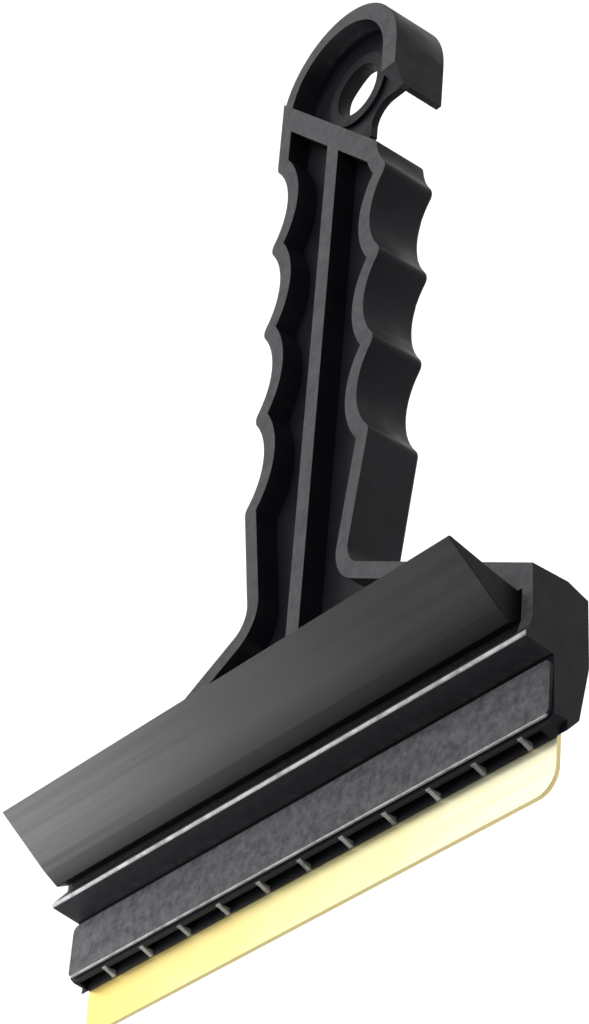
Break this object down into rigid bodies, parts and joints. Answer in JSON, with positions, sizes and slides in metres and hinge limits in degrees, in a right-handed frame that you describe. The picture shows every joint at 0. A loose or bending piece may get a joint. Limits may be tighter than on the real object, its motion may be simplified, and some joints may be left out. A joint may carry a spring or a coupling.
{
  "type": "ice scraper with squeegee lip",
  "caption": "Hand-held window scraper: hooked I-section handle with finger grips, flared head, thin brass scraping blade and a wedge-shaped rubber squeegee lip in a channel.",
  "frame": {"origin": "under the middle of the whole tool, on the plane that its flat back lies on", "axes": "+X along the head towards its closed end, +Y from the blade to the hook, +Z out of the front, where the rubber lip stands up"},
  "size_m": [0.1168, 0.1831, 0.0249],
  "materials": {
    "black_plastic": "satin moulded, fine grain",
    "brass": "rolled, bright",
    "rubber": "dark grey, fine drag lines"
  },
  "bodies": {
    "scraper": {"moulded_body": "black_plastic", "brass_blade": "brass"},
    "lip": {"squeegee_lip": "rubber"}
  },
  "joints": [
    {"name": "lip_slide", "type": "slide", "parent": "scraper", "child": "lip", "axis": [-1, 0, 0], "range_m": [0, 0.1]}
  ]
}
